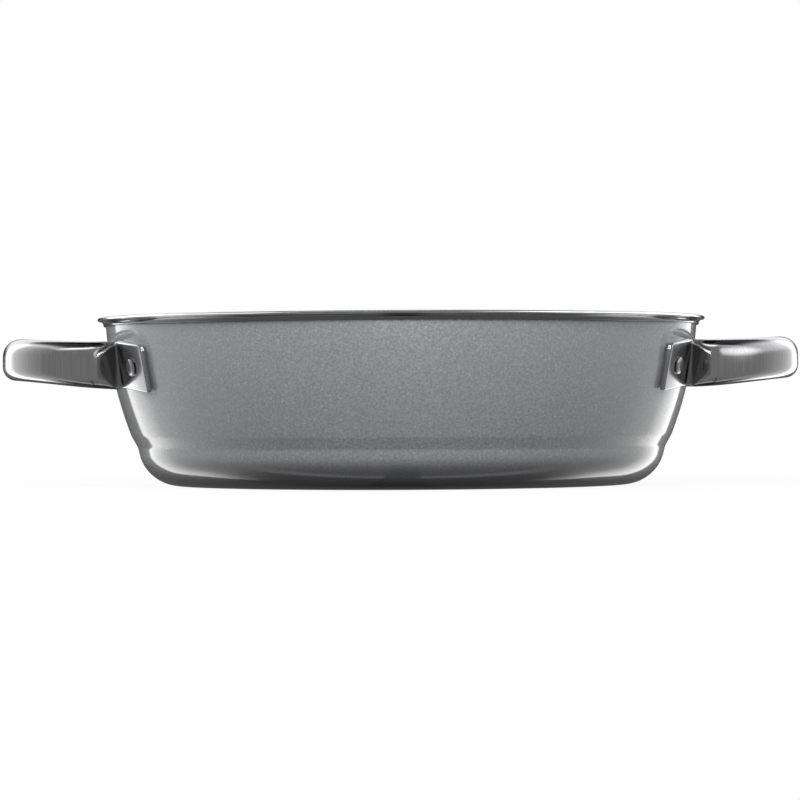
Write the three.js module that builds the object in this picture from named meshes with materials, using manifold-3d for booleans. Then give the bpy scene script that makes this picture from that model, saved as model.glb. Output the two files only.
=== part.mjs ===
// Shallow two-handled cooking pot: a pressed and enamelled steel bowl, a bright steel band crimped over its edge,
// and two hollow steel handles whose flattened feet are riveted through the wall.
// Millimetres, +Z up. The origin is the middle of the base, on the hob. The handles lie along X.
import * as THREE from "three";
import { mergeVertices } from "three/addons/utils/BufferGeometryUtils.js";
import Module from "manifold-3d";

const wasm = await Module();
wasm.setup();

const DEGREE = Math.PI / 180;

// Clearance between pieces that touch on the real pot.
const SEAT_GAP = 0.3;

// Bowl. Slopes are measured from the vertical, heights from the hob.
const POT_HEIGHT = 79.5;
const SHEET = 2.0;
const WALL_TOP_RADIUS = 140.4;
const WALL_TOP_SLOPE = 4 * DEGREE;
const WALL_BOW = 187;
const SHOULDER_HEIGHT = 23.5;
const SHOULDER_SLOPE = 29.3 * DEGREE;
const SHOULDER_FILLET = 10;
const COLLAR_HEIGHT = 18.1;
const COLLAR_SLOPE = 13.8 * DEGREE;
const COLLAR_FILLET = 6;
const BASE_FILLET = 18.5;

// Rim band: a skirt on each side of the wall, and a crowned lip that turns down at its outer edge.
const BAND_SHEET = 0.8;
const BAND_SKIRT = 4.5;
const BAND_COVER = 1.6;
const LIP_REACH = 3.7;
const LIP_NOSE = 0.55;
const LIP_DROP = 0.5;

// Handle, a tube pressed flat at both ends. The flat tube's outer face is drawn in plan as foot, bend and half an
// oval, whose squareness is 2 for an ellipse. From the foot's fold on it opens to the full tube, mostly outwards,
// between two distances along it. The ease is the length over which the climb to the grip starts.
const HANDLE_DROP = 7.3;
const HANDLE_TILT = 5.4 * DEGREE;
const TILT_EASE = 16;
const HANDLE_REACH = 51.2;
const HANDLE_WIDTH = 114.6;
const HANDLE_BEND = 3;
const LOOP_SQUARENESS = 2.3;
const SWELL_START = 1;
const SWELL_END = 12;
const SWELL_OUTWARDS = 0.95;
const FOOT_LENGTH = 25.9;
const FOOT_SLOPE = 4.8 * DEGREE;
const FOOT_HEIGHT = 22;
const FOOT_THICKNESS = 2.6;
const FOOT_TOP_CORNER = 2.5;
const FOOT_BOTTOM_CORNER = 1;
const FOOT_EDGE = 0.8;
const GRIP_HEIGHT = 19.6;
const GRIP_THICKNESS = 12;
const GRIP_TOP_ROUND = 8.3;
const GRIP_BOTTOM_ROUND = 6.3;
const GRIP_INNER_ROUND = 3;

// Rivets. The domed head is outside, the flat head inside the pot, and the inset runs from the foot's end.
const RIVET_INSET = 11.5;
const RIVET_SHANK = 2.5;
const RIVET_HEAD = 3.9;
const RIVET_DOME = 1.3;
const RIVET_DOME_FULLNESS = 0.8;
const RIVET_HEAD_EDGE = 0.5;
const RIVET_TAIL = 5;
const RIVET_TAIL_THICKNESS = 1.1;

// Faceting.
const ROUND_STEPS = 60;
const RIVET_STEPS = 16;
const ARC_STEP = 14 * DEGREE;
const WALL_STEPS = 7;
const CURVE_STEPS = 4;
const FOOT_STEPS = 4;
const FOOT_CORNER_STEPS = [0, 0.12, 0.4];
const BEND_STEPS = 6;
const LOOP_STEPS = 11;
const SECTION_STEPS = 4;

const enamel = new THREE.MeshStandardMaterial({ color: 0x7d7e81, roughness: 0.18, metalness: 0.1 });
const brightSteel = new THREE.MeshStandardMaterial({ color: 0xc9cacb, roughness: 0.12, metalness: 1 });
const satinSteel = new THREE.MeshStandardMaterial({ color: 0xb9babb, roughness: 0.25, metalness: 1 });

// Solids and booleans

function toSolid(geometry) {
  const bare = new THREE.BufferGeometry();
  bare.setAttribute("position", geometry.getAttribute("position"));
  bare.setIndex(geometry.index);
  const merged = mergeVertices(bare, 1e-3);
  return new wasm.Manifold(
    new wasm.Mesh({
      numProp: 3,
      vertProperties: new Float32Array(merged.attributes.position.array),
      triVerts: new Uint32Array(merged.index.array),
    }),
  );
}

function toGeometry(solid) {
  const mesh = solid.getMesh();
  const geometry = new THREE.BufferGeometry();
  geometry.setAttribute("position", new THREE.BufferAttribute(mesh.vertProperties, 3));
  geometry.setIndex(new THREE.BufferAttribute(mesh.triVerts, 1));
  geometry.computeVertexNormals();
  return geometry;
}

function cutHoles(geometry, cutters) {
  const drilled = cutters.reduce((solid, cutter) => solid.subtract(toSolid(cutter)), toSolid(geometry));
  return toGeometry(drilled);
}

// A closed (radius, height) profile turned about the pot's axis.
function turned(profile, steps) {
  return new THREE.LatheGeometry(profile, steps).rotateX(Math.PI / 2);
}

// Bowl profile

const edgeHeight = POT_HEIGHT - BAND_COVER;
const bowCentre = new THREE.Vector2(
  WALL_TOP_RADIUS - WALL_BOW * Math.cos(WALL_TOP_SLOPE),
  edgeHeight + WALL_BOW * Math.sin(WALL_TOP_SLOPE),
);

function wallSlope(height) {
  return Math.asin((bowCentre.y - height) / WALL_BOW);
}

// A point level with the given height on the wall's outer face, moved square to the wall by an offset.
function wallPoint(height, offset = 0) {
  const slope = wallSlope(height);
  const out = WALL_BOW + offset;
  return new THREE.Vector2(bowCentre.x + out * Math.cos(slope), bowCentre.y - out * Math.sin(slope));
}

// An arc of the given radius that rounds the corner between two straight runs.
function rounded(before, corner, after, radius) {
  const back = before.clone().sub(corner).normalize();
  const ahead = after.clone().sub(corner).normalize();
  const half = Math.acos(back.dot(ahead)) / 2;
  const bisector = back.clone().add(ahead).normalize();
  const centre = corner.clone().addScaledVector(bisector, radius / Math.sin(half));
  const first = corner.clone().addScaledVector(back, radius / Math.tan(half)).sub(centre);
  const last = corner.clone().addScaledVector(ahead, radius / Math.tan(half)).sub(centre);
  const sweep = Math.atan2(first.cross(last), first.dot(last));
  const steps = Math.max(2, Math.ceil(Math.abs(sweep) / ARC_STEP));
  return Array.from({ length: steps + 1 }, (_, i) =>
    first.clone().rotateAround(new THREE.Vector2(), (sweep * i) / steps).add(centre),
  );
}

function bowlOuterOutline() {
  const centre = new THREE.Vector2(0, 0);
  const shoulder = wallPoint(SHOULDER_HEIGHT);
  const collar = new THREE.Vector2(
    shoulder.x - (SHOULDER_HEIGHT - COLLAR_HEIGHT) * Math.tan(SHOULDER_SLOPE),
    COLLAR_HEIGHT,
  );
  const heel = new THREE.Vector2(collar.x - COLLAR_HEIGHT * Math.tan(COLLAR_SLOPE), 0);
  const slope = wallSlope(SHOULDER_HEIGHT);
  const wallAhead = shoulder.clone().add(new THREE.Vector2(Math.sin(slope), Math.cos(slope)));
  const lower = [
    ...rounded(centre, heel, collar, BASE_FILLET),
    ...rounded(heel, collar, shoulder, COLLAR_FILLET),
    ...rounded(collar, shoulder, wallAhead, SHOULDER_FILLET),
  ];
  const wallFoot = lower.at(-1).y;
  const wall = Array.from({ length: WALL_STEPS }, (_, i) =>
    wallPoint(wallFoot + ((edgeHeight - wallFoot) * (i + 1)) / WALL_STEPS),
  );
  return [centre, ...lower, ...wall];
}

// The outline moved inwards by the sheet's thickness, square to itself.
function inset(outline, thickness) {
  return outline.map((point, i) => {
    const before = outline[Math.max(i - 1, 0)];
    const after = outline[Math.min(i + 1, outline.length - 1)];
    const along = after.clone().sub(before).normalize();
    const inwards = i === 0 ? new THREE.Vector2(0, 1) : new THREE.Vector2(-along.y, along.x);
    return point.clone().addScaledVector(inwards, thickness);
  });
}

function bowlGeometry() {
  const outer = bowlOuterOutline();
  return turned([...outer, ...inset(outer, SHEET).reverse()], ROUND_STEPS);
}

// Rim band

function bandGeometry() {
  const skirtHeight = POT_HEIGHT - BAND_SKIRT;
  const lipRadius = WALL_TOP_RADIUS + LIP_REACH;
  const inside = -(SHEET + SEAT_GAP);
  const outerFoot = wallPoint(skirtHeight, SEAT_GAP + BAND_SHEET);
  const innerFoot = wallPoint(skirtHeight, inside - BAND_SHEET);
  const innerTop = new THREE.Vector2(innerFoot.x, POT_HEIGHT - LIP_DROP);
  const nose = new THREE.Vector2(lipRadius - LIP_NOSE, POT_HEIGHT - LIP_DROP - LIP_NOSE);
  const noseUnder = new THREE.Vector2(nose.x, nose.y - LIP_NOSE);
  const noseTop = new THREE.Vector2(nose.x, nose.y + LIP_NOSE);
  const crest = new THREE.Vector2((innerTop.x + nose.x) / 2, POT_HEIGHT + LIP_DROP);
  const cove = new THREE.QuadraticBezierCurve(outerFoot, new THREE.Vector2(outerFoot.x, noseUnder.y), noseUnder);
  const tip = new THREE.EllipseCurve(nose.x, nose.y, LIP_NOSE, LIP_NOSE, -Math.PI / 2, Math.PI / 2);
  const crown = new THREE.QuadraticBezierCurve(noseTop, crest, innerTop);
  const slot = edgeHeight + SEAT_GAP;
  const section = [
    wallPoint(skirtHeight, SEAT_GAP),
    ...cove.getPoints(CURVE_STEPS),
    ...tip.getPoints(CURVE_STEPS).slice(1, -1),
    ...crown.getPoints(CURVE_STEPS + 1),
    innerFoot,
    wallPoint(skirtHeight, inside),
    wallPoint(slot, inside),
    wallPoint(slot, SEAT_GAP),
  ];
  return turned([...section, section[0].clone()], ROUND_STEPS);
}

// Handle, drawn on the +X side

const rootHeight = POT_HEIGHT - BAND_SKIRT - HANDLE_DROP - FOOT_HEIGHT / 2;
const footLift = SEAT_GAP + FOOT_THICKNESS;
const footRadius = wallPoint(rootHeight).x + footLift / Math.cos(wallSlope(rootHeight));
const tubeBulge = (GRIP_THICKNESS - FOOT_THICKNESS) * SWELL_OUTWARDS;
const legY = HANDLE_WIDTH / 2 - tubeBulge;
const bendAngle = Math.asin((legY + HANDLE_BEND) / (footRadius + HANDLE_BEND));
const gripX = wallPoint(rootHeight).x + HANDLE_REACH - tubeBulge;
const bendX = (footRadius + HANDLE_BEND) * Math.cos(bendAngle);
const loopReach = gripX - bendX;

const { clamp, smoothstep } = THREE.MathUtils;

// Places on the flat tube's outer face: the middle of the face, the way it looks, how far the tube has opened from a
// flat foot (0) to the full tube (1), how far its height has come from the foot's (0) to the grip's (1), how far it
// leans out with the wall, and how far it is from a foot's end. The distance from the fold runs along the handle.
// The loop climbs from the bend to the grip, and the feet slope down from the bend to their ends.
function loopStation(x, y, facing, fromFold, lean = 0) {
  const climb = Math.hypot(Math.max(x - bendX, 0), TILT_EASE) - TILT_EASE;
  const level = rootHeight + climb * Math.tan(HANDLE_TILT);
  const swell = clamp((fromFold - SWELL_START) / (SWELL_END - SWELL_START), 0, 1);
  const taper = smoothstep(fromFold, 0, loopReach);
  return { at: new THREE.Vector3(x, y, level), facing, swell, taper, lean, fromEnd: Infinity };
}

function footStation(fromEnd) {
  const fromBend = FOOT_LENGTH - fromEnd;
  const angle = bendAngle + fromBend / footRadius;
  const level = rootHeight - fromBend * Math.tan(FOOT_SLOPE);
  const lean = wallSlope(level);
  const radius = wallPoint(level).x + footLift / Math.cos(lean);
  const at = new THREE.Vector3(radius * Math.cos(angle), -radius * Math.sin(angle), level);
  return { at, facing: -angle, swell: 0, taper: 0, lean, fromEnd };
}

// Stations from the front foot's end to the middle of the grip.
function halfHandle() {
  const stations = [];
  for (const part of FOOT_CORNER_STEPS) stations.push(footStation(part * FOOT_TOP_CORNER));
  for (let i = 0; i <= FOOT_STEPS; i++) {
    stations.push(footStation(FOOT_TOP_CORNER + ((FOOT_LENGTH - FOOT_TOP_CORNER) * i) / FOOT_STEPS));
  }
  const bendLength = HANDLE_BEND * (Math.PI / 2 - bendAngle);
  const rootLean = wallSlope(rootHeight);
  for (let i = 1; i <= BEND_STEPS; i++) {
    const t = i / BEND_STEPS;
    const facing = -bendAngle - (Math.PI / 2 - bendAngle) * t;
    const x = bendX - HANDLE_BEND * Math.cos(facing);
    const y = -(legY + HANDLE_BEND) - HANDLE_BEND * Math.sin(facing);
    stations.push(loopStation(x, y, facing, bendLength * t, rootLean * (1 - smoothstep(t, 0, 1))));
  }
  for (let i = 1; i <= LOOP_STEPS; i++) {
    const turn = (Math.PI / 2) * (i / LOOP_STEPS);
    const across = Math.max(Math.cos(turn), 0) ** (2 / LOOP_SQUARENESS);
    const outwards = Math.sin(turn) ** (2 / LOOP_SQUARENESS);
    const x = bendX + loopReach * outwards;
    const facing = Math.atan2(
      -loopReach * across ** (LOOP_SQUARENESS - 1),
      legY * outwards ** (LOOP_SQUARENESS - 1),
    );
    stations.push(loopStation(x, -legY * across, facing, bendLength + x - bendX));
  }
  return stations;
}

function mirrored({ at, facing, ...rest }) {
  return { at: new THREE.Vector3(at.x, -at.y, at.z), facing: -facing, ...rest };
}

// How much height a foot loses to the rounding of its end corner.
function cornerLoss(radius, fromEnd) {
  return fromEnd < radius ? radius - Math.sqrt(radius ** 2 - (radius - fromEnd) ** 2) : 0;
}

// A rounded section as (depth behind the flat tube's outer face, height from its middle). Its corners grow round
// sooner than it grows deep.
function sectionOutline({ swell, taper, fromEnd }) {
  const { lerp } = THREE.MathUtils;
  const roundness = Math.sin((Math.PI / 2) * swell);
  const half = lerp(FOOT_HEIGHT, GRIP_HEIGHT, taper) / 2;
  const upper = half - cornerLoss(FOOT_TOP_CORNER, fromEnd);
  const lower = cornerLoss(FOOT_BOTTOM_CORNER, fromEnd) - half;
  const depth = lerp(FOOT_THICKNESS, GRIP_THICKNESS, swell);
  const bulge = (depth - FOOT_THICKNESS) * SWELL_OUTWARDS;
  const inner = lerp(FOOT_EDGE, GRIP_INNER_ROUND, swell);
  const top = Math.min(lerp(FOOT_EDGE, GRIP_TOP_ROUND, roundness), depth - inner);
  const bottom = Math.min(lerp(FOOT_EDGE, GRIP_BOTTOM_ROUND, roundness), depth - inner);
  const corners = [
    [top - bulge, upper - top, top, Math.PI],
    [depth - bulge - inner, upper - inner, inner, Math.PI / 2],
    [depth - bulge - inner, lower + inner, inner, 0],
    [bottom - bulge, lower + bottom, bottom, -Math.PI / 2],
  ];
  return corners.flatMap(([x, y, radius, start]) =>
    new THREE.EllipseCurve(x, y, radius, radius, start, start - Math.PI / 2, true).getPoints(SECTION_STEPS),
  );
}

// The way a leaning face looks, and the way up along it.
function faceAxes({ facing, lean }) {
  const level = new THREE.Vector3(Math.cos(facing), Math.sin(facing), 0);
  const up = new THREE.Vector3(0, 0, 1);
  return {
    out: level.clone().multiplyScalar(Math.cos(lean)).addScaledVector(up, -Math.sin(lean)),
    rise: up.clone().multiplyScalar(Math.cos(lean)).addScaledVector(level, Math.sin(lean)),
  };
}

// A closed skin over the sections of a row of stations, with flat ends.
function loft(stations) {
  const rings = stations.map((place) => {
    const { out, rise } = faceAxes(place);
    return sectionOutline(place).map((p) => place.at.clone().addScaledVector(out, -p.x).addScaledVector(rise, p.y));
  });
  const count = rings[0].length;
  const points = rings.flat();
  const faces = [];
  for (let ring = 0; ring + 1 < rings.length; ring++) {
    for (let i = 0; i < count; i++) {
      const a = ring * count + i;
      const b = ring * count + ((i + 1) % count);
      faces.push(a, a + count, b, b, a + count, b + count);
    }
  }
  const last = points.length - count;
  for (let i = 1; i + 1 < count; i++) {
    faces.push(0, i, i + 1, last, last + i + 1, last + i);
  }
  return new THREE.BufferGeometry().setFromPoints(points).setIndex(faces);
}

// Rivets, one in each foot

function turnedAlong(geometry, place) {
  const { out } = faceAxes(place);
  const turn = new THREE.Quaternion().setFromUnitVectors(new THREE.Vector3(0, 1, 0), out);
  return geometry.applyQuaternion(turn).translate(place.at.x, place.at.y, place.at.z);
}

const frontRivet = footStation(RIVET_INSET);
const rivetPlaces = [frontRivet, mirrored(frontRivet)];

// Heights run along the rivet from the foot's outer face, positive outwards.
function rivetGeometry() {
  const underHead = SEAT_GAP;
  const headEdge = underHead + RIVET_HEAD_EDGE;
  const tailCurve = RIVET_TAIL ** 2 / (2 * wallPoint(rootHeight, -SHEET).x);
  const overTail = -(FOOT_THICKNESS + SEAT_GAP + SHEET + SEAT_GAP + tailCurve);
  const tailEnd = overTail - RIVET_TAIL_THICKNESS;
  const dome = new THREE.QuadraticBezierCurve(
    new THREE.Vector2(RIVET_HEAD, headEdge),
    new THREE.Vector2(RIVET_HEAD * RIVET_DOME_FULLNESS, underHead + RIVET_DOME),
    new THREE.Vector2(0, underHead + RIVET_DOME),
  );
  const profile = [
    new THREE.Vector2(0, tailEnd),
    new THREE.Vector2(RIVET_TAIL - RIVET_TAIL_THICKNESS / 2, tailEnd),
    new THREE.Vector2(RIVET_TAIL, tailEnd + RIVET_TAIL_THICKNESS / 2),
    new THREE.Vector2(RIVET_TAIL, overTail),
    new THREE.Vector2(RIVET_SHANK, overTail),
    new THREE.Vector2(RIVET_SHANK, underHead),
    new THREE.Vector2(RIVET_HEAD, underHead),
    ...dome.getPoints(CURVE_STEPS),
  ];
  return new THREE.LatheGeometry(profile, RIVET_STEPS);
}

function rivetHole(place, side) {
  const through = 2 * (FOOT_THICKNESS + SHEET + RIVET_TAIL);
  const drill = new THREE.CylinderGeometry(RIVET_SHANK + SEAT_GAP, RIVET_SHANK + SEAT_GAP, through, RIVET_STEPS);
  return turnedAlong(drill, place).rotateZ(side);
}

// Assembly

const sides = [
  { name: "right", turn: 0, rivets: ["front", "rear"] },
  { name: "left", turn: Math.PI, rivets: ["rear", "front"] },
];

const pot = new THREE.Group();

function addMesh(parent, name, geometry, material) {
  const mesh = new THREE.Mesh(geometry, material);
  mesh.name = name;
  parent.add(mesh);
}

const wallHoles = sides.flatMap(({ turn }) => rivetPlaces.map((place) => rivetHole(place, turn)));
addMesh(pot, "pot_body", cutHoles(bowlGeometry(), wallHoles), enamel);
addMesh(pot, "rim_band", bandGeometry(), brightSteel);

const half = halfHandle();
const handleStations = [...half, ...half.slice(0, -1).map(mirrored).reverse()];
const footHoles = rivetPlaces.map((place) => rivetHole(place, 0));
for (const { name, turn, rivets } of sides) {
  const side = new THREE.Group();
  side.rotation.z = turn;
  addMesh(side, `${name}_handle`, cutHoles(loft(handleStations), footHoles), satinSteel);
  rivetPlaces.forEach((place, i) => {
    addMesh(side, `${name}_${rivets[i]}_rivet`, turnedAlong(rivetGeometry(), place), brightSteel);
  });
  pot.add(side);
}

export default pot;
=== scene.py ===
import math
from collections import namedtuple

import bmesh
import bpy
from mathutils import Matrix, Vector


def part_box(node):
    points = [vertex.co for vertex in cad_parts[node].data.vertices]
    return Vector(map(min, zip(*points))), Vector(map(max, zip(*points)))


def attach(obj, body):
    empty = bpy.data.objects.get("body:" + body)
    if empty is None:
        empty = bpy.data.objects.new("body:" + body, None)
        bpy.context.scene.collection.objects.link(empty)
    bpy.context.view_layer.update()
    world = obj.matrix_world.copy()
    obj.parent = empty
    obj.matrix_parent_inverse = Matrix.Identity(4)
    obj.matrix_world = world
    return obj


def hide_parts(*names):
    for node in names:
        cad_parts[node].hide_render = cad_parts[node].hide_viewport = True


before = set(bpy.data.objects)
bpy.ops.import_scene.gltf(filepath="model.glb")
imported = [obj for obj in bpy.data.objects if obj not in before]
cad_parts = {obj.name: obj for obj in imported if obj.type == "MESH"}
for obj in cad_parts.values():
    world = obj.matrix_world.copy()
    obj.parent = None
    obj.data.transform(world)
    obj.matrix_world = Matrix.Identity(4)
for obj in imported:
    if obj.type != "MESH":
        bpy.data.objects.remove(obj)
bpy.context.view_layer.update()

bl_info = {
    "name": "Enamelled Pot",
    "version": (1, 0, 0),
    "blender": (4, 5, 0),
    "location": "View3D > Sidebar > Pot",
    "description": "Builds a shallow two-handled enamelled pot and the studio it stands in",
    "category": "Add Mesh",
}

MM = 0.001
BOWL_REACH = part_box("pot_body")[1].x
LIP_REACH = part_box("rim_band")[1].x
GRIP_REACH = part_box("right_handle")[1].x

# Fineness of the meshes
ROUND_STEPS = 256
WALL_STEPS = 22
BASE_SEGMENTS = 20
BEAD_SEGMENTS = 6
SECTION_SEGMENTS = 7
RIVET_STEPS = 48
SHARP_ANGLE = math.radians(40)
MERGE_DISTANCE = 0.001 * MM

# Patterns of the finishes, as counts in a metre
ENAMEL_CLOUDS = 45.0
ENAMEL_GRAINS = 1000.0
ENAMEL_FLECKS = 620.0
ENAMEL_RIPPLES = 160.0
RIM_HAZE = 120.0
RIM_MARKS = (300.0, 300.0, 4000.0)
HANDLE_HAZE = 70.0
HANDLE_LINES = (1500.0, 1500.0, 40.0)
RIVET_DENTS = 500.0

# The studio, in metres
FLOOR_SIZE = 60.0
FLOOR_DROP = 0.3 * MM
FLOOR_SHADOW = (0.2, 0.5)
TENT_RADIUS = 1.5
WHITE = (1.0, 1.0, 1.0, 1.0)
SENSOR_MILLIMETRES = 36.0

# The tent's walls: pairs of a place, from straight in front, at 0, to straight behind, at 1, and its grey
TENT_GREYS = (
    (0.0, 0.08),
    (0.33, 0.08),
    (0.57, 0.155),
    (0.77, 0.29),
    (0.88, 0.86),
    (0.901, 0.93),
    (0.913, 0.036),
    (1.0, 0.036),
)
TENT_STRENGTH = 3.0
TENT_TURN = 0.031
TOP_LEAN = math.radians(10)

# Each side's name, its turn about the pot's axis, and the rivets at its two feet
SIDES = (("right", 0.0, ("front", "rear")), ("left", math.pi, ("rear", "front")))


# Sizes and colours that a user may change


def length(name, description, millimetres):
    return bpy.props.FloatProperty(
        name=name, description=description, default=millimetres * MM, unit="LENGTH", precision=5
    )


def angle(name, description, degrees):
    return bpy.props.FloatProperty(
        name=name, description=description, default=math.radians(degrees), subtype="ANGLE"
    )


def number(name, description, value):
    return bpy.props.FloatProperty(name=name, description=description, default=value)


def power(name, description, watts):
    return bpy.props.FloatProperty(name=name, description=description, default=watts, unit="POWER")


def colour(name, description, red, green, blue):
    return bpy.props.FloatVectorProperty(
        name=name, description=description, default=(red, green, blue, 1.0), size=4, subtype="COLOR"
    )


class BowlSettings(bpy.types.PropertyGroup):
    edge_height: length("Edge height", "Height of the pressed bowl's upper edge", 77.9)
    sheet: length("Sheet", "Thickness of the enamelled sheet", 2.0)
    top_radius: length("Top radius", "Outer radius at the upper edge", BOWL_REACH / MM)
    top_slope: angle("Top slope", "Lean of the wall at the upper edge, from the vertical", 4.0)
    bow: length("Bow", "Radius of the wall's bulge", 187.0)
    shoulder_height: length("Shoulder height", "Height of the crease where the wall steps in", 23.5)
    shoulder_slope: angle("Shoulder slope", "Lean of the step below the wall", 29.3)
    shoulder_fillet: length("Shoulder rounding", "Radius at the top of the step", 10.0)
    collar_height: length("Collar height", "Height of the foot of the step", 18.1)
    collar_slope: angle("Collar slope", "Lean of the wall below the step", 13.8)
    collar_fillet: length("Collar rounding", "Radius at the foot of the step", 6.0)
    base_fillet: length("Base rounding", "Radius between the wall and the flat base", 18.5)
    ground: colour("Ground", "Colour of the enamel between the flecks", 0.205, 0.208, 0.216)
    fleck: colour("Fleck", "Colour of the fine flecks in the enamel", 0.46, 0.465, 0.475)
    # Painted shade: between these two heights the enamel's colour darkens towards the base.
    painted_shade_top: length("Painted shade top", "Height from which the enamel darkens towards the base", 17.0)
    painted_shade_bottom: length("Painted shade bottom", "Height below which the enamel is darkest", 8.0)


class RimSettings(bpy.types.PropertyGroup):
    height: length("Height", "Height of the band's crown, the top of the pot", 79.5)
    skirt: length("Skirt", "How far the band reaches down the wall from the crown", 4.2)
    sheet: length("Sheet", "Thickness of the band", 0.8)
    seat: length("Seat", "Clearance between the pot's pieces", 0.3)
    lip_radius: length("Lip radius", "Outer radius of the lip", LIP_REACH / MM)
    lip_nose: length("Lip nose", "Radius of the lip's outer edge", 0.65)
    lip_drop: length("Lip drop", "How far the lip's edge lies below the crown", 0.5)
    steel: colour("Steel", "Colour of the polished band", 0.62, 0.62, 0.63)


class HandleSettings(bpy.types.PropertyGroup):
    drop: length("Drop", "Distance from the band's skirt to the top of a foot", 7.6)
    tilt: angle("Tilt", "Climb of the loop from the wall to the grip", 5.4)
    ease: length("Ease", "Length over which the climb starts", 16.0)
    reach: length("Reach", "Distance from the pot's axis to the outer face of the grip", GRIP_REACH / MM)
    width: length("Width", "Distance across the loop where it meets the wall", 114.6)
    bend: length("Bend", "Radius of the bend between a foot and the loop", 3.0)
    squareness: number("Squareness", "How square the loop is in plan, 2 for an ellipse", 2.3)
    swell_start: length("Swell start", "Distance from a foot's fold where the tube starts to open", 1.0)
    swell_end: length("Swell end", "Distance from a foot's fold where the tube is fully open", 12.0)
    outwards: number("Outwards", "Share of the tube's opening that goes outwards", 0.95)
    fold: length("Fold", "How far to the side of the pot's axis the fold of a foot lies", 129.5)
    fold_height: length("Fold height", "Height of the middle of the fold", 56.5)
    foot_length: length("Foot length", "Length of a foot along the wall", 25.9)
    foot_slope: angle("Foot slope", "Slope of a foot from its fold down to its end", 4.8)
    foot_height: length("Foot height", "Height of a foot", 22.0)
    foot_thickness: length("Foot thickness", "Thickness of the flattened tube", 2.6)
    foot_top_corner: length("Foot top corner", "Radius of the upper corner of a foot's end", 2.5)
    foot_bottom_corner: length("Foot bottom corner", "Radius of the lower corner of a foot's end", 1.0)
    foot_edge: length("Foot edge", "Radius along the edges of a foot", 0.8)
    grip_height: length("Grip height", "Height of the grip", 19.6)
    grip_thickness: length("Grip thickness", "Thickness of the grip", 12.0)
    grip_top: length("Grip top", "Radius of the grip's outer upper edge", 8.3)
    grip_bottom: length("Grip bottom", "Radius of the grip's outer lower edge", 6.3)
    grip_inner: length("Grip inner", "Radius of the grip's inner edges", 3.0)
    steel: colour("Steel", "Colour of the satin steel", 0.6, 0.6, 0.61)


class RivetSettings(bpy.types.PropertyGroup):
    inset: length("Inset", "Distance from a foot's end to its rivet", 11.5)
    shank: length("Shank", "Radius of the shank", 2.5)
    head: length("Head", "Radius of the domed head", 3.9)
    dome: length("Dome", "Height of the domed head", 1.3)
    head_edge: length("Head edge", "Height of the head's straight edge", 0.5)
    tail: length("Tail", "Radius of the flat head inside the pot", 5.0)
    tail_thickness: length("Tail thickness", "Thickness of the flat head inside the pot", 1.1)
    steel: colour("Steel", "Colour of the rivets", 0.56, 0.56, 0.57)


class StageSettings(bpy.types.PropertyGroup):
    camera_distance: length("Camera distance", "Distance of the camera from the pot's axis", 1638.0)
    camera_height: length("Camera height", "Height of the camera above the floor", 40.1)
    camera_lens: bpy.props.FloatProperty(
        name="Lens", description="Focal length of the camera", default=154.7, unit="CAMERA"
    )
    camera_turn: angle("Camera turn", "How far the camera has gone round towards the left handle", 1.9)
    camera_roll: angle("Camera roll", "Clockwise roll of the camera", 0.25)
    camera_aim: length("Camera aim", "How far left of the pot's axis the camera looks", 0.67)
    floor: colour("Floor", "Colour of the floor", 0.8, 0.8, 0.8)
    key_power: power("Key power", "Power of the lamp above the front, and of the left one", 10.0)
    right_share: number("Right share", "Power of the right lamp as a share of the key power", 0.65)
    fleck_power: power("Fleck power", "Power of the low lamp at the front", 7.0)
    back_power: power("Back power", "Power of the lamp above the back", 4.0)
    rim_power: power("Rim power", "Power of each lamp that lights the rim alone", 5.5)
    ambient: number("Ambient", "Light that reaches the pot from all round", 0.05)


# Shapes


def smooth_rise(value, start, end):
    share = min(max((value - start) / (end - start), 0.0), 1.0)
    return share * share * (3 - 2 * share)


def mix(first, second, share):
    return first + (second - first) * share


def add_wire(bm, points, closed=False):
    """Vertices joined in a row by edges."""
    verts = [bm.verts.new(point) for point in points]
    following = verts[1:] + verts[:1] if closed else verts[1:]
    for first, second in zip(verts, following):
        bm.edges.new((first, second))
    return verts


def add_named_wire(bm, corners, closed=False):
    """A wire through named corners. Returns its vertices by the same names."""
    return dict(zip(corners, add_wire(bm, corners.values(), closed)))


def round_off(bm, geom, offset, segments, affect="VERTICES"):
    """Rounds a wire's corners or a mesh's edges, starting at an offset along what meets there."""
    bmesh.ops.bevel(
        bm,
        geom=geom,
        offset=offset,
        offset_type="OFFSET",
        affect=affect,
        segments=segments,
        profile=0.5,
        material=-1,
    )


def round_corner(bm, vert, radius, segments):
    """Rounds a wire's corner by an arc of the given radius."""
    ahead, back = [(edge.other_vert(vert).co - vert.co) for edge in vert.link_edges]
    round_off(bm, [vert], radius / math.tan(ahead.angle(back) / 2), segments)


def turn_about_axis(bm, steps):
    """Turns a profile in the plane of X and Z once round the Z axis."""
    bmesh.ops.spin(
        bm,
        geom=bm.verts[:] + bm.edges[:],
        cent=(0, 0, 0),
        axis=(0, 0, 1),
        angle=math.tau,
        steps=steps,
        use_merge=True,
    )
    bmesh.ops.remove_doubles(bm, verts=bm.verts, dist=MERGE_DISTANCE)
    bmesh.ops.recalc_face_normals(bm, faces=bm.faces)


def add_mesh_object(bm, name, material):
    """Turns a finished bmesh into an object of one material."""
    mesh = bpy.data.meshes.new(name)
    bm.to_mesh(mesh)
    bm.free()
    mesh.materials.append(material)
    thing = bpy.data.objects.new(name, mesh)
    bpy.context.scene.collection.objects.link(thing)
    return thing


def add_piece(bm, name, node, material):
    """Turns a finished bmesh into a piece of the pot that stands for a node of the frame."""
    for face in bm.faces:
        face.smooth = True
    for edge in bm.edges:
        edge.smooth = edge.calc_face_angle(0.0) < SHARP_ANGLE
    piece = add_mesh_object(bm, name, material)
    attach(piece, "root")
    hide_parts(node)


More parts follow.
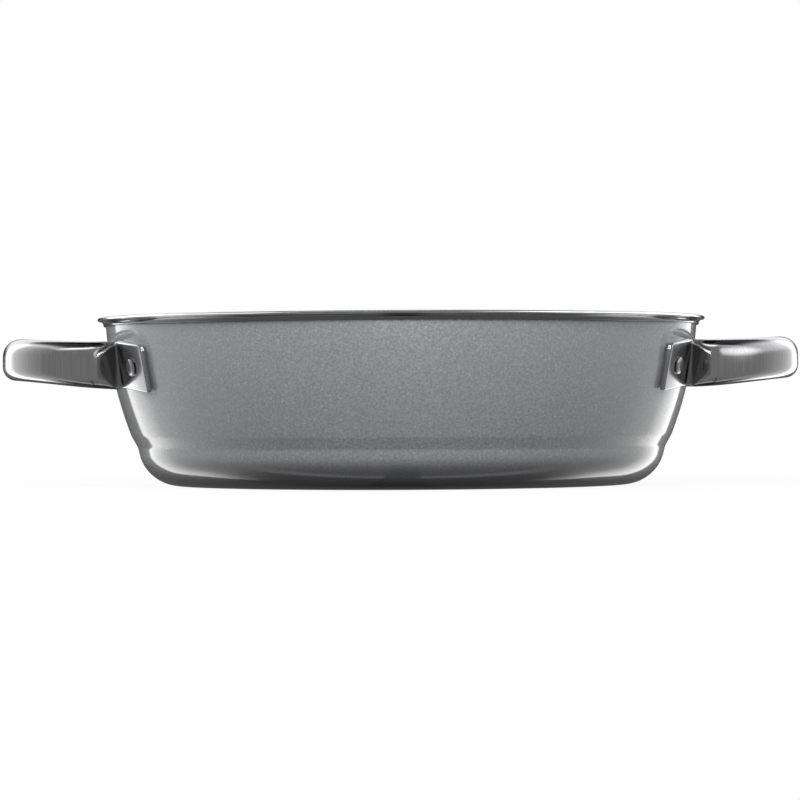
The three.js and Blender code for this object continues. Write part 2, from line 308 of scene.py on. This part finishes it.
class Wall:
    """The bowl's outer face above its shoulder: an arc in the plane of radius and height."""

    def __init__(self, bowl):
        self.bow = bowl.bow
        self.centre = Vector(
            (
                bowl.top_radius - bowl.bow * math.cos(bowl.top_slope),
                0,
                bowl.edge_height + bowl.bow * math.sin(bowl.top_slope),
            )
        )

    def slope(self, height):
        return math.asin((self.centre.z - height) / self.bow)

    def point(self, height, offset=0.0):
        """A point level with a height on the wall, moved square to the wall by an offset."""
        slope = self.slope(height)
        return self.centre + (self.bow + offset) * Vector((math.cos(slope), 0, -math.sin(slope)))


Station = namedtuple("Station", "place facing lean swell taper from_end")


class HandlePath:
    """The right handle's outer face as if the tube were flat, in stations from front foot to rear foot."""

    # Places on the rounding of a foot's end, as shares of its radius
    corner_shares = (0.0, 0.16, 0.36, 0.64)
    foot_steps = 10
    bend_steps = 10
    loop_steps = 48

    def __init__(self, bowl, rim, handle):
        self.handle = handle
        self.wall = Wall(bowl)
        self.lift = rim.seat + handle.foot_thickness
        self.root = rim.height - rim.skirt - handle.drop - handle.foot_height / 2
        lean = self.wall.slope(self.root)
        self.foot_radius = self.wall.point(self.root).x + self.lift / math.cos(lean)
        bulge = (handle.grip_thickness - handle.foot_thickness) * handle.outwards
        self.leg = handle.width / 2 - bulge
        self.bend_angle = math.asin((self.leg + handle.bend) / (self.foot_radius + handle.bend))
        self.bend_x = (self.foot_radius + handle.bend) * math.cos(self.bend_angle)
        self.loop_reach = handle.reach - bulge - self.bend_x

    def foot(self, from_end):
        """A station on the front foot, at a distance from its end."""
        handle = self.handle
        from_fold = handle.foot_length - from_end
        around = self.bend_angle + from_fold / self.foot_radius
        height = self.root - from_fold * math.tan(handle.foot_slope)
        lean = self.wall.slope(height)
        radius = self.wall.point(height).x + self.lift / math.cos(lean)
        place = Vector((radius * math.cos(around), -radius * math.sin(around), height))
        return Station(place, -around, lean, 0.0, 0.0, from_end)

    def loop(self, x, y, facing, from_fold, lean=0.0):
        """A station past the fold, where the tube opens and climbs."""
        handle = self.handle
        climb = math.hypot(max(x - self.bend_x, 0.0), handle.ease) - handle.ease
        height = self.root + climb * math.tan(handle.tilt)
        opened = (from_fold - handle.swell_start) / (handle.swell_end - handle.swell_start)
        swell = min(max(opened, 0.0), 1.0)
        taper = smooth_rise(from_fold, 0.0, self.loop_reach)
        return Station(Vector((x, y, height)), facing, lean, swell, taper, math.inf)

    def front_foot(self):
        handle = self.handle
        corner = handle.foot_top_corner
        stations = [self.foot(share * corner) for share in self.corner_shares]
        for step in range(self.foot_steps + 1):
            stations.append(self.foot(mix(corner, handle.foot_length, step / self.foot_steps)))
        return stations

    def front_bend(self, turn):
        handle = self.handle
        root_lean = self.wall.slope(self.root)
        stations = []
        for step in range(1, self.bend_steps + 1):
            share = step / self.bend_steps
            facing = -self.bend_angle - turn * share
            x = self.bend_x - handle.bend * math.cos(facing)
            y = -(self.leg + handle.bend) - handle.bend * math.sin(facing)
            lean = root_lean * (1 - smooth_rise(share, 0, 1))
            stations.append(self.loop(x, y, facing, handle.bend * turn * share, lean))
        return stations

    def front_loop(self, bend_length):
        square = self.handle.squareness
        stations = []
        for step in range(1, self.loop_steps + 1):
            around = math.pi / 2 * step / self.loop_steps
            across = max(math.cos(around), 0.0) ** (2 / square)
            outwards = math.sin(around) ** (2 / square)
            x = self.bend_x + self.loop_reach * outwards
            sideways = -self.loop_reach * across ** (square - 1)
            ahead = self.leg * outwards ** (square - 1)
            facing = math.atan2(sideways, ahead)
            stations.append(self.loop(x, -self.leg * across, facing, bend_length + x - self.bend_x))
        return stations

    def whole(self):
        turn = math.pi / 2 - self.bend_angle
        half = self.front_foot() + self.front_bend(turn) + self.front_loop(self.handle.bend * turn)
        return half + [mirrored(station) for station in reversed(half[:-1])]


def mirrored(station):
    """The station's twin on the other side of the pot's middle plane."""
    place = station.place
    return station._replace(place=Vector((place.x, -place.y, place.z)), facing=-station.facing)


def face_axes(station):
    """The way a station's face looks, and the way up along it."""
    ahead = Vector((math.cos(station.facing), math.sin(station.facing), 0))
    up = Vector((0, 0, 1))
    out = ahead * math.cos(station.lean) - up * math.sin(station.lean)
    rise = up * math.cos(station.lean) + ahead * math.sin(station.lean)
    return out, rise


def corner_loss(radius, from_end):
    """How much height a foot loses to the rounding of its end corner."""
    if from_end >= radius:
        return 0.0
    return radius - math.sqrt(radius**2 - (radius - from_end) ** 2)


def add_section(bm, handle, station, segments):
    """A closed wire round the handle at a station. Returns its edges."""
    known = set(bm.edges)
    half = mix(handle.foot_height, handle.grip_height, station.taper) / 2
    upper = half - corner_loss(handle.foot_top_corner, station.from_end)
    lower = corner_loss(handle.foot_bottom_corner, station.from_end) - half
    depth = mix(handle.foot_thickness, handle.grip_thickness, station.swell)
    inner = mix(handle.foot_edge, handle.grip_inner, station.swell)
    roundness = math.sin(math.pi / 2 * station.swell)
    top = min(mix(handle.foot_edge, handle.grip_top, roundness), depth - inner)
    bottom = min(mix(handle.foot_edge, handle.grip_bottom, roundness), depth - inner)
    out, rise = face_axes(station)
    bulge = (depth - handle.foot_thickness) * handle.outwards
    front, back = -bulge, depth - bulge
    corners = ((front, upper, top), (back, upper, inner), (back, lower, inner), (front, lower, bottom))
    places = [station.place - out * deep + rise * high for deep, high, _ in corners]
    for vert, (_, _, radius) in zip(add_wire(bm, places, closed=True), corners):
        round_off(bm, [vert], radius, segments)
    return [edge for edge in bm.edges if edge not in known]


# Finishes


class Socket:
    """A node's output that takes part in Python expressions, each of which adds a Math node."""

    def __init__(self, paint, source):
        self.paint = paint
        self.source = source

    def math(self, operation, first, second):
        return self.paint.node("ShaderNodeMath", {"operation": operation}, {0: first, 1: second})

    def __add__(self, other):
        return self.math("ADD", self, other)

    def __sub__(self, other):
        return self.math("SUBTRACT", self, other)

    def __rsub__(self, other):
        return self.math("SUBTRACT", other, self)

    def __mul__(self, other):
        return self.math("MULTIPLY", self, other)

    def __truediv__(self, other):
        return self.math("DIVIDE", self, other)

    def __pow__(self, other):
        return self.math("POWER", self, other)

    __radd__ = __add__
    __rmul__ = __mul__


class Paint:
    """A node tree that is filled by one method, with short names for the nodes that come often."""

    def __init__(self, tree):
        self.tree = tree
        tree.nodes.clear()

    def node(self, kind, settings=None, inputs=None, output=0):
        """Adds a node with its settings and its inputs' values or links. Returns one of its outputs."""
        node = self.tree.nodes.new(kind)
        for name, value in (settings or {}).items():
            if name == "stops":
                set_stops(node.color_ramp, value)
            else:
                setattr(node, name, value)
        for name, value in (inputs or {}).items():
            if isinstance(value, Socket):
                self.tree.links.new(value.source, node.inputs[name])
            else:
                node.inputs[name].default_value = value
        return Socket(self, node.outputs[output]) if node.outputs else None

    def place(self, scale=(1, 1, 1)):
        """Places on the piece, in metres times a scale."""
        place = self.node("ShaderNodeTexCoord", output="Object")
        return self.node("ShaderNodeMapping", inputs={"Vector": place, "Scale": scale})

    def axis(self, place, name):
        """A place's part along X, Y or Z."""
        return self.node("ShaderNodeSeparateXYZ", inputs={0: place}, output=name)

    def noise(self, place, scale, detail=2.0):
        inputs = {"Vector": place, "Scale": scale, "Detail": detail}
        return self.node("ShaderNodeTexNoise", inputs=inputs)

    def between(self, value, start, end, low=0.0, high=1.0):
        """A smooth passage from low to high while a value goes from start to end."""
        inputs = {"Value": value, "From Min": start, "From Max": end, "To Min": low, "To Max": high}
        return self.node("ShaderNodeMapRange", {"interpolation_type": "SMOOTHSTEP"}, inputs)

    def blend(self, factor, first, second):
        """A colour between two. On this node sockets 6 and 7 take the colours, and output 2 gives one."""
        inputs = {0: factor, 6: first, 7: second}
        return self.node("ShaderNodeMix", {"data_type": "RGBA"}, inputs, output=2)

    def bump(self, height, strength, depth):
        inputs = {"Strength": strength, "Distance": depth, "Height": height}
        return self.node("ShaderNodeBump", inputs=inputs)

    def surface(self, kind, inputs):
        """Adds a shader and makes it the material's surface."""
        shader = self.node(kind, inputs=inputs)
        self.node("ShaderNodeOutputMaterial", inputs={"Surface": shader})


def set_stops(ramp, stops):
    """Fills a colour ramp with greys, given as pairs of position and grey."""
    while len(ramp.elements) < len(stops):
        ramp.elements.new(1.0)
    for element, (position, grey) in zip(ramp.elements, stops):
        element.position = position
        element.color = (grey, grey, grey, 1.0)


def new_material(name):
    material = bpy.data.materials.new(name)
    material.use_nodes = True
    return material, Paint(material.node_tree)


def darker(tone, share):
    """A colour with a share of its brightness."""
    return [share * channel for channel in tone[:3]] + [1.0]


def speckled_enamel(bowl):
    """Grey glass enamel with fine metallic flecks under a clear, slightly rippled gloss.

    Painted shade darkens it towards the base, and its flecks are painted half as strong beside the handles
    as in front, a painted weaker glint there.
    """
    material, paint = new_material("grey_flecked_enamel")
    place = paint.place()
    cells = {"Vector": place, "Scale": ENAMEL_FLECKS, "Randomness": 1.0}
    distance = paint.node("ShaderNodeTexVoronoi", inputs=cells, output="Distance")
    chance = paint.node("ShaderNodeTexVoronoi", inputs=cells, output="Color")
    chosen = paint.between(paint.node("ShaderNodeSeparateColor", inputs={0: chance}), 0.6, 1.0)
    dots = paint.between(distance, 0.4, 0.1) * chosen
    grain = paint.between(paint.noise(place, ENAMEL_GRAINS, detail=1.0), 0.25, 0.75)
    cloud = paint.noise(place, ENAMEL_CLOUDS)
    even = dots * 0.8 + grain * 0.5 + cloud * 0.05
    across, ahead, height = [paint.axis(place, name) for name in "XYZ"]
    # Painted light: the flecks are made half as strong beside the handles, a painted weaker glint there.
    facing = ahead * ahead / (across * across + ahead * ahead)
    average = 0.3
    flecks = (even - average) * paint.between(facing, 0.4, 0.95, 0.5, 1.0) + average
    speckled = paint.blend(flecks, bowl.ground[:], bowl.fleck[:])
    # Painted shade darkens the enamel's colour towards the base.
    painted_base_shade = paint.between(height, bowl.painted_shade_top, bowl.painted_shade_bottom, 0.0, 0.75)
    ripple = paint.noise(place, ENAMEL_RIPPLES)
    paint.surface(
        "ShaderNodeBsdfPrincipled",
        {
            "Base Color": paint.blend(painted_base_shade, speckled, darker(bowl.ground, 0.3)),
            "Metallic": flecks * 0.4,
            "Roughness": 0.42 - flecks * 0.08,
            "Normal": paint.bump(ripple, strength=0.015, depth=0.4 * MM),
            "Coat Weight": 1.0,
            "Coat Roughness": 0.03,
            "Coat IOR": 1.6,
        },
    )
    return material


def polished_steel(rim):
    """Bright steel with faint polishing marks round the pot, and painted shade in the crease under the
    lip.
    """
    material, paint = new_material("bright_rim_steel")
    place = paint.place()
    haze = paint.noise(place, RIM_HAZE)
    marks = paint.noise(paint.place(RIM_MARKS), 1.0)
    clean = paint.blend(paint.between(haze, 0.3, 0.7), darker(rim.steel, 0.86), rim.steel[:])
    # Painted shade darkens the band's colour in the crease under the lip.
    under_lip = rim.height - rim.lip_drop - 2 * rim.lip_nose
    painted_crease_shade = paint.between(paint.axis(place, "Z"), under_lip + 0.2 * MM, under_lip - 0.6 * MM)
    paint.surface(
        "ShaderNodeBsdfPrincipled",
        {
            "Base Color": paint.blend(painted_crease_shade, clean, darker(rim.steel, 0.4)),
            "Metallic": 1.0,
            "Roughness": 0.09 + haze * 0.05 + marks * 0.05,
        },
    )
    return material


def satin_steel(handle):
    """Satin steel, brushed upright in fine lines, with a little haze and painted shade where the tube
    opens.
    """
    material, paint = new_material("brushed_handle_steel")
    place = paint.place()
    lines = paint.noise(paint.place(HANDLE_LINES), 1.0, detail=3.0)
    haze = paint.noise(place, HANDLE_HAZE)
    brushed = paint.blend(paint.between(lines, 0.3, 0.7), darker(handle.steel, 0.88), handle.steel[:])
    # Painted shade darkens the hollow, half an ellipse past the fold, 1 on its edge.
    across = paint.axis(place, "X")
    past_fold = ((across * across) ** 0.5 - handle.fold) / handle.swell_end * 1.1
    off_middle = (paint.axis(place, "Z") - handle.fold_height) / (0.5 * handle.grip_height)
    from_middle = past_fold * past_fold + off_middle * off_middle
    hollow_shade = paint.between(past_fold, 0.0, 0.05) * paint.between(from_middle, 1.05, 0.95)
    paint.surface(
        "ShaderNodeBsdfPrincipled",
        {
            "Base Color": paint.blend(hollow_shade, brushed, darker(handle.steel, 0.5)),
            "Metallic": 1.0,
            "Roughness": 0.12 + lines * 0.06 + haze * 0.05,
            "Normal": paint.bump(lines, strength=0.03, depth=0.05 * MM),
        },
    )
    return material


def rivet_steel(rivet):
    """Steel with the dull spots of a hammered head."""
    material, paint = new_material("hammered_rivet_steel")
    dents = paint.noise(paint.place(), RIVET_DENTS)
    paint.surface(
        "ShaderNodeBsdfPrincipled",
        {
            "Base Color": rivet.steel[:],
            "Metallic": 1.0,
            "Roughness": 0.22 + dents * 0.15,
            "Normal": paint.bump(dents, strength=0.25, depth=0.3 * MM),
        },
    )
    return material


def finish(name, make, settings):
    """A finish by its name, made when it is first asked for."""
    return bpy.data.materials.get(name) or make(settings)


# Pieces


class POT_OT_bowl(bpy.types.Operator):
    """Turn the pressed bowl and give it its sheet's thickness"""

    bl_idname = "pot.bowl"
    bl_label = "Bowl"

    def execute(self, context):
        bowl = context.scene.pot_bowl
        wall = Wall(bowl)
        shoulder = wall.point(bowl.shoulder_height)
        step_in = (bowl.shoulder_height - bowl.collar_height) * math.tan(bowl.shoulder_slope)
        collar = Vector((shoulder.x - step_in, 0, bowl.collar_height))
        heel = Vector((collar.x - bowl.collar_height * math.tan(bowl.collar_slope), 0, 0))
        bm = bmesh.new()
        profile = {"middle": Vector(), "heel": heel, "collar": collar, "shoulder": shoulder}
        corners = add_named_wire(bm, profile)
        rise = wall.slope(bowl.shoulder_height) - bowl.top_slope
        bmesh.ops.spin(
            bm,
            geom=[corners["shoulder"]],
            cent=wall.centre,
            axis=(0, -1, 0),
            angle=rise,
            steps=WALL_STEPS,
        )
        round_corner(bm, corners["heel"], bowl.base_fillet, BASE_SEGMENTS)
        round_corner(bm, corners["collar"], bowl.collar_fillet, BEAD_SEGMENTS)
        round_corner(bm, corners["shoulder"], bowl.shoulder_fillet, BEAD_SEGMENTS)
        turn_about_axis(bm, ROUND_STEPS)
        bmesh.ops.solidify(bm, geom=bm.faces[:], thickness=bowl.sheet)
        material = finish("grey_flecked_enamel", speckled_enamel, bowl)
        add_piece(bm, "enamelled_bowl", "pot_body", material)
        return {"FINISHED"}


class POT_OT_rim(bpy.types.Operator):
    """Turn the steel band that is crimped over the bowl's edge"""

    bl_idname = "pot.rim"
    bl_label = "Rim band"

    def execute(self, context):
        scene = context.scene
        rim = scene.pot_rim
        wall = Wall(scene.pot_bowl)
        foot = rim.height - rim.skirt
        slot = scene.pot_bowl.edge_height + rim.seat
        inside = -(scene.pot_bowl.sheet + rim.seat)
        outer_foot = wall.point(foot, rim.seat + rim.sheet)
        inner_foot = wall.point(foot, inside - rim.sheet)
        nose_top = rim.height - rim.lip_drop
        nose_under = nose_top - 2 * rim.lip_nose
        # The crest is cut down to the crown when it is rounded.
        crest = Vector(((inner_foot.x + rim.lip_radius) / 2, 0, rim.height + rim.lip_drop))
        section = {
            "outer_slot_foot": wall.point(foot, rim.seat),
            "outer_foot": outer_foot,
            "cove": Vector((outer_foot.x, 0, nose_under)),
            "nose_under": Vector((rim.lip_radius, 0, nose_under)),
            "nose_top": Vector((rim.lip_radius, 0, nose_top)),
            "crest": crest,
            "inner_top": Vector((inner_foot.x, 0, nose_top)),
            "inner_foot": inner_foot,
            "inner_slot_foot": wall.point(foot, inside),
            "inner_slot_top": wall.point(slot, inside),
            "outer_slot_top": wall.point(slot, rim.seat),
        }
        # How far each rounding starts from its corner, and its segments
        crown = (crest - section["nose_top"]).length * 0.8
        nose = rim.lip_nose * 0.9
        edge = rim.sheet * 0.4
        roundings = {
            "cove": ((nose_under - foot) * 0.85, 8),
            "nose_under": (nose, 5),
            "nose_top": (nose, 5),
            "crest": (crown, 10),
            "inner_top": (rim.sheet * 0.9, 5),
            "outer_foot": (edge, 3),
            "inner_foot": (edge, 3),
        }
        bm = bmesh.new()
        corners = add_named_wire(bm, section, closed=True)
        for name, (offset, segments) in roundings.items():
            round_off(bm, [corners[name]], offset, segments)
        turn_about_axis(bm, ROUND_STEPS)
        material = finish("bright_rim_steel", polished_steel, rim)
        add_piece(bm, "steel_rim_band", "rim_band", material)
        return {"FINISHED"}


class POT_OT_handles(bpy.types.Operator):
    """Loft the two tube handles from foot to foot"""

    bl_idname = "pot.handles"
    bl_label = "Handles"

    def execute(self, context):
        scene = context.scene
        handle = scene.pot_handle
        stations = HandlePath(scene.pot_bowl, scene.pot_rim, handle).whole()
        material = finish("brushed_handle_steel", satin_steel, handle)
        for side, turn, _ in SIDES:
            bm = bmesh.new()
            rings = [add_section(bm, handle, station, SECTION_SEGMENTS) for station in stations]
            for ring, following in zip(rings, rings[1:]):
                bmesh.ops.bridge_loops(bm, edges=ring + following)
            for end in (rings[0], rings[-1]):
                bmesh.ops.edgeloop_fill(bm, edges=end)
            bmesh.ops.recalc_face_normals(bm, faces=bm.faces)
            ends = [edge for edge in rings[0] + rings[-1] if edge.is_valid]
            round_off(bm, ends, handle.foot_edge * 0.3, segments=2, affect="EDGES")
            bmesh.ops.rotate(bm, cent=(0, 0, 0), matrix=Matrix.Rotation(turn, 3, "Z"), verts=bm.verts)
            add_piece(bm, f"{side}_tube_handle", f"{side}_handle", material)
        return {"FINISHED"}


class POT_OT_rivets(bpy.types.Operator):
    """Turn the four rivets, domed outside and flat inside the pot"""

    bl_idname = "pot.rivets"
    bl_label = "Rivets"

    def execute(self, context):
        scene = context.scene
        bowl = scene.pot_bowl
        rim = scene.pot_rim
        handle = scene.pot_handle
        rivet = scene.pot_rivet
        path = HandlePath(bowl, rim, handle)
        front = path.foot(rivet.inset)
        # The flat head clears the hollow of the bowl's inner face.
        tail_curve = rivet.tail**2 / (2 * path.wall.point(path.root, -bowl.sheet).x)
        over_tail = -(handle.foot_thickness + 2 * rim.seat + bowl.sheet + tail_curve)
        tail_end = over_tail - rivet.tail_thickness
        under_head = rim.seat
        head_top = under_head + rivet.dome
        profile = {
            "tail_middle": (0.0, tail_end),
            "tail_rim": (rivet.tail, tail_end),
            "tail_top": (rivet.tail, over_tail),
            "shank_foot": (rivet.shank, over_tail),
            "shank_top": (rivet.shank, under_head),
            "head_under": (rivet.head, under_head),
            "head_side": (rivet.head, under_head + rivet.head_edge),
            "dome_side": (rivet.head * 0.8, head_top),
            "dome_middle": (0.0, head_top),
        }
        points = {name: Vector((radius, 0, height)) for name, (radius, height) in profile.items()}
        material = finish("hammered_rivet_steel", rivet_steel, rivet)
        for side, turn, names in SIDES:
            for name, station in zip(names, (front, mirrored(front))):
                bm = bmesh.new()
                corners = add_named_wire(bm, points)
                round_off(bm, [corners["tail_rim"]], rivet.tail_thickness * 0.6, segments=4)
                round_off(bm, [corners["dome_side"]], rivet.dome * 0.7, segments=8)
                round_off(bm, [corners["head_under"]], rivet.head_edge * 0.3, segments=2)
                turn_about_axis(bm, RIVET_STEPS)
                out, _ = face_axes(station)
                aim = out.to_track_quat("Z", "Y").to_matrix().to_4x4()
                place = Matrix.Rotation(turn, 4, "Z") @ Matrix.Translation(station.place) @ aim
                bmesh.ops.transform(bm, matrix=place, verts=bm.verts)
                node = f"{side}_{name}_rivet"
                add_piece(bm, f"{side}_{name}_domed_rivet", node, material)
        return {"FINISHED"}


# Studio


def seen_directly(paint):
    """1 for rays from the camera, a reflection or clear glass, 0 for rays that only carry light."""
    kinds = ("Is Camera Ray", "Is Glossy Ray", "Is Transmission Ray")
    camera, glossy, clear = [paint.node("ShaderNodeLightPath", output=kind) for kind in kinds]
    return paint.between(camera + glossy + clear, 0.0, 1.0)


def white_floor(stage):
    """A floor that shows white and keeps a soft shadow under the pot."""
    material, paint = new_material("white_floor")
    seen = seen_directly(paint)
    grey = paint.blend(seen, darker(stage.floor, 0.08), stage.floor[:])
    lit = paint.node("ShaderNodeBsdfDiffuse", inputs={"Color": grey})
    white = paint.node("ShaderNodeEmission", inputs={"Color": WHITE, "Strength": 1.0})
    measure = {"operation": "LENGTH"}
    off_axis = paint.node("ShaderNodeVectorMath", measure, {0: paint.place()}, output="Value")
    far = paint.between(off_axis, *FLOOR_SHADOW)
    paint.surface("ShaderNodeMixShader", {0: seen * (0.93 + far * 0.07), 1: lit, 2: white})
    return material


Way = namedtuple("Way", "east north up back around")


def tent_way(paint):
    """The way from the tent's middle to a place on it, as parts of a length of 1."""
    place = paint.node("ShaderNodeTexCoord", output="Object")
    unit = paint.node("ShaderNodeVectorMath", {"operation": "NORMALIZE"}, {0: place})
    east, north, up = [paint.axis(unit, name) for name in "XYZ"]
    # The tent is turned a little, so that its back lies left of straight behind.
    back = north - east * TENT_TURN
    # This is -1 in front and 1 behind at every height. A little over 1 keeps the root from zero.
    around = back / (1.0001 - up * up) ** 0.5
    return Way(east, north, up, back, around)


def tent_walls(paint, way):
    """The tent's grey front, bright sides and dark back corners, with the table steeply below."""
    # Low down, the bright sides reach a little further to the front.
    turned = way.around * 0.5 + 0.5 + paint.between(way.up, -0.4, -0.7, 0.0, 0.05)
    sides = paint.node("ShaderNodeValToRGB", {"stops": TENT_GREYS}, {0: turned}) * TENT_STRENGTH
    # The table is dark under the pot, and beside it grey in front, with a bright edge.
    below = paint.between(way.up, -0.62, -0.86)
    front = paint.between(way.back, -0.06, 0.04, 0.18, 0.05)
    edge = paint.between(way.back, -0.2, -0.12) * paint.between(way.back, 0.04, -0.04)
    beside = paint.between(way.east * way.east, 0.005, 0.0075, 0.2, 1.0)
    table = (front + edge * 0.45) * beside
    return sides * (1 - below) + table * below


def light_tent():
    """What the gloss of the pot shows: the walls of a tent, a dark top, and soft lights."""
    material, paint = new_material("light_tent")
    way = tent_way(paint)
    # Positive past a plane through the handles' line that leans a little to the front of straight up.
    past_top = way.back * math.cos(TOP_LEAN) + way.up * math.sin(TOP_LEAN)
    off_side = paint.between(way.east * way.east, 0.5, 0.2)
    over = paint.between(past_top, -0.01, 0.01) * paint.between(way.up, 0.02, 0.1) * off_side
    # A strip of light runs along the front of the dark top, brighter on the left.
    near_top = paint.between(past_top, -0.15, -0.12) * (1 - over)
    strip = near_top * paint.between(way.up, 0.4, 0.6) * off_side
    left_side = paint.between(way.east, 0.2, 0.05)
    # Behind hangs a bright backdrop at half height.
    half_height = paint.between(way.up, 0.15, 0.3) * paint.between(way.up, 0.68, 0.54)
    backdrop = paint.between(way.around, 0.6, 0.8) * half_height
    # On the right only are a soft window and the brighter wall behind it.
    window = paint.between(way.east * 0.65 - way.north * 0.545 + way.up * 0.53, 0.88, 1.0)
    upper_right = paint.between(way.up, 0.2, 0.45) * paint.between(way.east, 0.45, 0.75)
    lights = strip * (0.6 + left_side * 1.8) + backdrop * 1.2 + window * 1.1 + upper_right * 0.4
    shown = tent_walls(paint, way) * (1 - over * 0.97) + lights
    paint.surface("ShaderNodeEmission", {"Color": WHITE, "Strength": shown})
    return material


def add_floor(stage):
    bm = bmesh.new()
    bmesh.ops.create_grid(bm, x_segments=1, y_segments=1, size=FLOOR_SIZE)
    floor = add_mesh_object(bm, "studio_floor", white_floor(stage))
    floor.location.z = -FLOOR_DROP
    floor.visible_glossy = False
    return floor


def add_tent():
    """The tent round the studio, which only reflections see."""
    bm = bmesh.new()
    bmesh.ops.create_uvsphere(bm, u_segments=64, v_segments=32, radius=TENT_RADIUS)
    tent = add_mesh_object(bm, "light_tent", light_tent())
    tent.visible_camera = False
    tent.visible_diffuse = False
    tent.visible_transmission = False
    tent.visible_shadow = False


def add_softbox(name, watts, azimuth, elevation, distance, size, lit=None):
    """An area lamp aimed at the pot. Azimuth 0 is the camera's side, and 90 is the right.

    A lamp with a collection to light is for that collection alone, which also mirrors it.
    """
    lamp = bpy.data.lights.new(name, "AREA")
    lamp.shape = "RECTANGLE"
    lamp.size, lamp.size_y = size
    lamp.energy = watts
    softbox = bpy.data.objects.new(name, lamp)
    bpy.context.scene.collection.objects.link(softbox)
    around, rise = math.radians(azimuth), math.radians(elevation)
    way = Vector((math.sin(around) * math.cos(rise), -math.cos(around) * math.cos(rise), math.sin(rise)))
    softbox.location = way * distance
    softbox.rotation_euler = way.to_track_quat("Z", "Y").to_euler()
    softbox.visible_camera = False
    softbox.visible_glossy = lit is not None
    softbox.light_linking.receiver_collection = lit


def lit_alone(name, *things):
    """A collection of the things that a lamp lights alone."""
    collection = bpy.data.collections.new(name)
    for thing in things:
        collection.objects.link(thing)
    return collection


def built_piece(name):
    """A piece of the pot, which has to be there before its lamps are."""
    piece = bpy.data.objects.get(name)
    if piece is None:
        raise RuntimeError(f"Build {name} before the stage")
    return piece


def add_lamps(stage, floor):
    """Two lamps in front for the enamel and the floor alone, and two large ones for the band alone.

    The keys at the sides and the fill behind light everything.
    """
    key = stage.key_power
    low = stage.fleck_power
    enamel = lit_alone("lit_enamel_and_floor", built_piece("enamelled_bowl"), floor)
    add_softbox("front_key", key, azimuth=0, elevation=40, distance=1.2, size=(0.8, 0.3), lit=enamel)
    add_softbox("fleck_light", low, azimuth=0, elevation=15, distance=1.4, size=(0.5, 0.2), lit=enamel)
    for name, azimuth, share in (("left_key", -96, 1.0), ("right_key", 96, stage.right_share)):
        add_softbox(name, share * key, azimuth, elevation=28, distance=1.2, size=(0.7, 0.4))
    add_softbox("back_fill", stage.back_power, azimuth=180, elevation=55, distance=1.2, size=(1.2, 0.6))
    band = lit_alone("lit_rim_band", built_piece("steel_rim_band"))
    for name, azimuth in (("left_rim_light", -92), ("right_rim_light", 92)):
        add_softbox(name, stage.rim_power, azimuth, elevation=28, distance=1.0, size=(1.6, 0.9), lit=band)


def add_camera(stage):
    """A level camera that has gone a little round the pot and is rolled a little."""
    data = bpy.data.cameras.new("photo_camera")
    data.lens = stage.camera_lens
    data.sensor_width = SENSOR_MILLIMETRES
    camera = bpy.data.objects.new("photo_camera", data)
    bpy.context.scene.collection.objects.link(camera)
    turn = stage.camera_turn
    back = Vector((-math.sin(turn), -math.cos(turn), 0))
    left = Vector((-math.cos(turn), math.sin(turn), 0))
    height = Vector((0, 0, stage.camera_height))
    camera.location = back * stage.camera_distance + height
    look = left * stage.camera_aim + height - camera.location
    roll = Matrix.Rotation(-stage.camera_roll, 4, "Z")
    camera.rotation_euler = (look.to_track_quat("-Z", "Y").to_matrix().to_4x4() @ roll).to_euler()
    bpy.context.scene.camera = camera


def light_world(stage):
    """A world that shows white and lights the pot only faintly."""
    world = bpy.data.worlds.new("studio")
    world.use_nodes = True
    paint = Paint(world.node_tree)
    seen = seen_directly(paint)
    strength = seen + (1 - seen) * stage.ambient
    sky = paint.node("ShaderNodeBackground", inputs={"Color": WHITE, "Strength": strength})
    paint.node("ShaderNodeOutputWorld", inputs={"Surface": sky})
    bpy.context.scene.world = world


class POT_OT_stage(bpy.types.Operator):
    """Set the camera, the white floor, the soft lamps and the tent that the gloss shows"""

    bl_idname = "pot.stage"
    bl_label = "Stage"

    def execute(self, context):
        stage = context.scene.pot_stage
        context.scene.view_settings.view_transform = "Standard"
        add_camera(stage)
        light_world(stage)
        floor = add_floor(stage)
        add_tent()
        add_lamps(stage, floor)
        return {"FINISHED"}


class POT_PT_panel(bpy.types.Panel):
    """Buttons for the pot's pieces and its studio"""

    bl_idname = "POT_PT_panel"
    bl_label = "Enamelled Pot"
    bl_space_type = "VIEW_3D"
    bl_region_type = "UI"
    bl_category = "Pot"

    def draw(self, context):
        for operator in OPERATORS:
            self.layout.operator(operator.bl_idname)
        for name, group in SETTINGS.items():
            column = self.layout.column(align=True)
            for setting in group.__annotations__:
                column.prop(getattr(context.scene, name), setting)


SETTINGS = {
    "pot_bowl": BowlSettings,
    "pot_rim": RimSettings,
    "pot_handle": HandleSettings,
    "pot_rivet": RivetSettings,
    "pot_stage": StageSettings,
}
OPERATORS = (POT_OT_bowl, POT_OT_rim, POT_OT_handles, POT_OT_rivets, POT_OT_stage)


def register():
    for name, group in SETTINGS.items():
        bpy.utils.register_class(group)
        setattr(bpy.types.Scene, name, bpy.props.PointerProperty(type=group))
    for shown_class in (*OPERATORS, POT_PT_panel):
        bpy.utils.register_class(shown_class)


def unregister():
    for shown_class in (POT_PT_panel, *reversed(OPERATORS)):
        bpy.utils.unregister_class(shown_class)
    for name, group in reversed(SETTINGS.items()):
        delattr(bpy.types.Scene, name)
        bpy.utils.unregister_class(group)


def main():
    register()
    bpy.ops.pot.bowl()
    bpy.ops.pot.rim()
    bpy.ops.pot.handles()
    bpy.ops.pot.rivets()
    bpy.ops.pot.stage()


if __name__ == "__main__":
    main()
